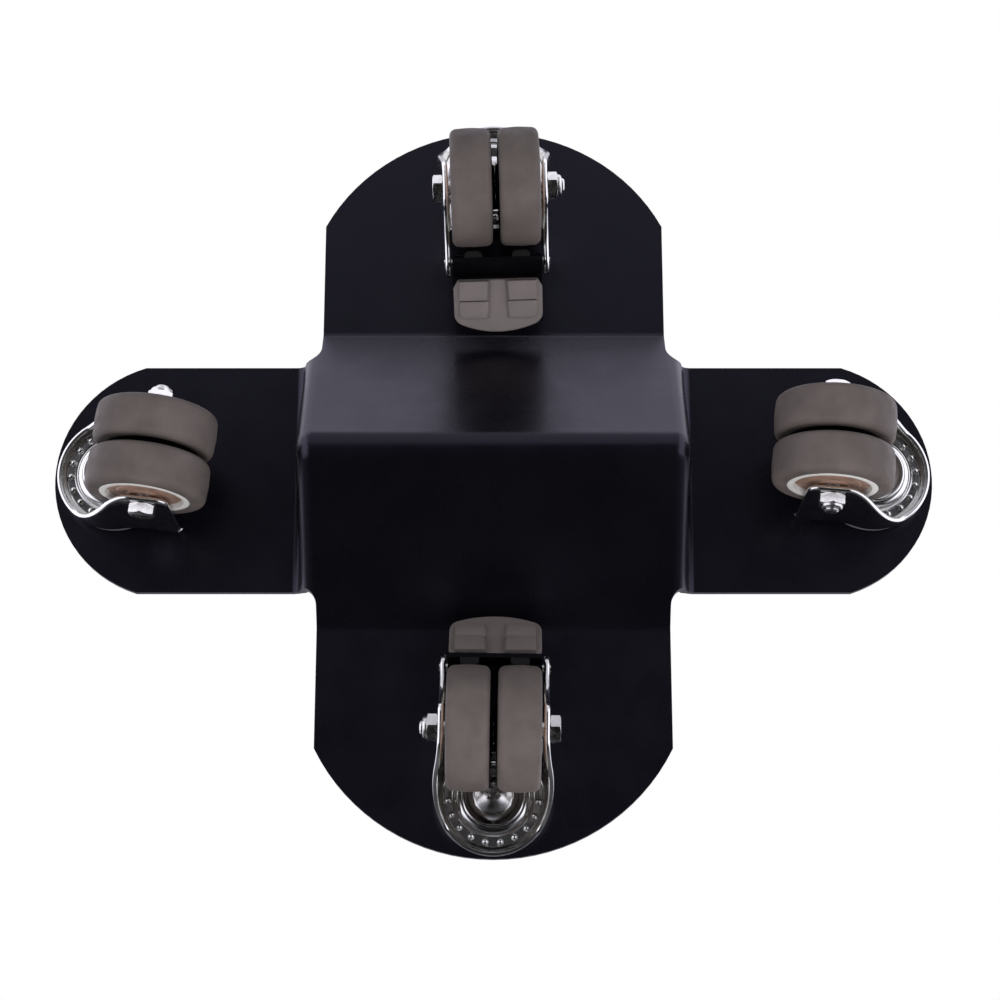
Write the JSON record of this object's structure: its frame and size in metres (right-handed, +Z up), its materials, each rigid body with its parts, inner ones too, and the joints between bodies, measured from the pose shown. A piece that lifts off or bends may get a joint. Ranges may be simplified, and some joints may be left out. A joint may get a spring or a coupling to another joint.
{
  "type": "piano dolly",
  "caption": "Black pressed steel piano dolly: a cross with a V-shaped trough in the middle, on twin-wheel swivel casters, the casters of the wide arms braked.",
  "frame": {"origin": "on the floor, under the middle of the cross, halfway between opposite swivels", "axes": "+Z up, X along the narrow arms with the plain casters, Y along the wide arms with the braked casters"},
  "size_m": [0.374, 0.323, 0.081],
  "materials": {
    "black_steel": "satin powder coat",
    "bright_steel": "bright zinc plating",
    "zinc_steel": "zinc plated",
    "grey_tread": "matte",
    "white_core": "moulded",
    "grey_pedal": "moulded",
    "grey_shoe": "matte"
  },
  "bodies": {
    "cross": {"cross_pan": "black_steel", "swivel_races": "bright_steel", "king_keepers": "bright_steel", "king_screws": "zinc_steel", "king_nuts": "zinc_steel"},
    "left_swivel": {"left_fork": "bright_steel", "left_axle_bolt": "zinc_steel", "left_axle_nut": "zinc_steel"},
    "left_wheel_1": {"left_tread_1": "grey_tread", "left_core_1": "white_core"},
    "left_wheel_2": {"left_tread_2": "grey_tread", "left_core_2": "white_core"},
    "right_swivel": {"right_fork": "bright_steel", "right_axle_bolt": "zinc_steel", "right_axle_nut": "zinc_steel"},
    "right_wheel_1": {"right_tread_1": "grey_tread", "right_core_1": "white_core"},
    "right_wheel_2": {"right_tread_2": "grey_tread", "right_core_2": "white_core"},
    "front_swivel": {"front_fork": "bright_steel", "front_axle_bolt": "zinc_steel", "front_axle_nut": "zinc_steel", "front_brake_pin": "zinc_steel"},
    "front_wheel_1": {"front_tread_1": "grey_tread", "front_core_1": "white_core"},
    "front_wheel_2": {"front_tread_2": "grey_tread", "front_core_2": "white_core"},
    "front_brake": {"front_brake_lever": "black_steel", "front_brake_pedal": "grey_pedal", "front_brake_shoes": "grey_shoe"},
    "rear_swivel": {"rear_fork": "bright_steel", "rear_axle_bolt": "zinc_steel", "rear_axle_nut": "zinc_steel", "rear_brake_pin": "zinc_steel"},
    "rear_wheel_1": {"rear_tread_1": "grey_tread", "rear_core_1": "white_core"},
    "rear_wheel_2": {"rear_tread_2": "grey_tread", "rear_core_2": "white_core"},
    "rear_brake": {"rear_brake_lever": "black_steel", "rear_brake_pedal": "grey_pedal", "rear_brake_shoes": "grey_shoe"}
  },
  "joints": [
    {"name": "left_swivel_turn", "type": "hinge", "parent": "cross", "child": "left_swivel", "pos_m": [-0.1605, 0, 0.068], "axis": [0, 0, 1], "continuous": true},
    {"name": "left_wheel_1_spin", "type": "hinge", "parent": "left_swivel", "child": "left_wheel_1", "pos_m": [-0.13934, 0.00248, 0.025], "axis": [-0.1167, 0.9932, 0], "continuous": true},
    {"name": "left_wheel_2_spin", "type": "hinge", "parent": "left_swivel", "child": "left_wheel_2", "pos_m": [-0.13934, 0.00248, 0.025], "axis": [-0.1167, 0.9932, 0], "continuous": true},
    {"name": "right_swivel_turn", "type": "hinge", "parent": "cross", "child": "right_swivel", "pos_m": [0.1605, 0, 0.068], "axis": [0, 0, 1], "continuous": true},
    {"name": "right_wheel_1_spin", "type": "hinge", "parent": "right_swivel", "child": "right_wheel_1", "pos_m": [0.13928, -0.00182, 0.025], "axis": [0.0854, -0.9963, 0], "continuous": true},
    {"name": "right_wheel_2_spin", "type": "hinge", "parent": "right_swivel", "child": "right_wheel_2", "pos_m": [0.13928, -0.00182, 0.025], "axis": [0.0854, -0.9963, 0], "continuous": true},
    {"name": "front_swivel_turn", "type": "hinge", "parent": "cross", "child": "front_swivel", "pos_m": [0, -0.137, 0.068], "axis": [0, 0, 1], "continuous": true},
    {"name": "front_wheel_1_spin", "type": "hinge", "parent": "front_swivel", "child": "front_wheel_1", "pos_m": [0.00067, -0.11571, 0.025], "axis": [-0.9995, 0.0314, 0], "continuous": true},
    {"name": "front_wheel_2_spin", "type": "hinge", "parent": "front_swivel", "child": "front_wheel_2", "pos_m": [0.00067, -0.11571, 0.025], "axis": [-0.9995, 0.0314, 0], "continuous": true},
    {"name": "front_brake_press", "type": "hinge", "parent": "front_swivel", "child": "front_brake", "pos_m": [0.00154, -0.08812, 0.0416], "axis": [-0.9995, 0.0314, 0], "range_deg": [0, 9]},
    {"name": "rear_swivel_turn", "type": "hinge", "parent": "cross", "child": "rear_swivel", "pos_m": [0, 0.137, 0.068], "axis": [0, 0, 1], "continuous": true},
    {"name": "rear_wheel_1_spin", "type": "hinge", "parent": "rear_swivel", "child": "rear_wheel_1", "pos_m": [0.0003, 0.1157, 0.025], "axis": [0.9999, 0.014, 0], "continuous": true},
    {"name": "rear_wheel_2_spin", "type": "hinge", "parent": "rear_swivel", "child": "rear_wheel_2", "pos_m": [0.0003, 0.1157, 0.025], "axis": [0.9999, 0.014, 0], "continuous": true},
    {"name": "rear_brake_press", "type": "hinge", "parent": "rear_swivel", "child": "rear_brake", "pos_m": [0.00068, 0.08811, 0.0416], "axis": [0.9999, 0.014, 0], "range_deg": [0, 9]}
  ]
}
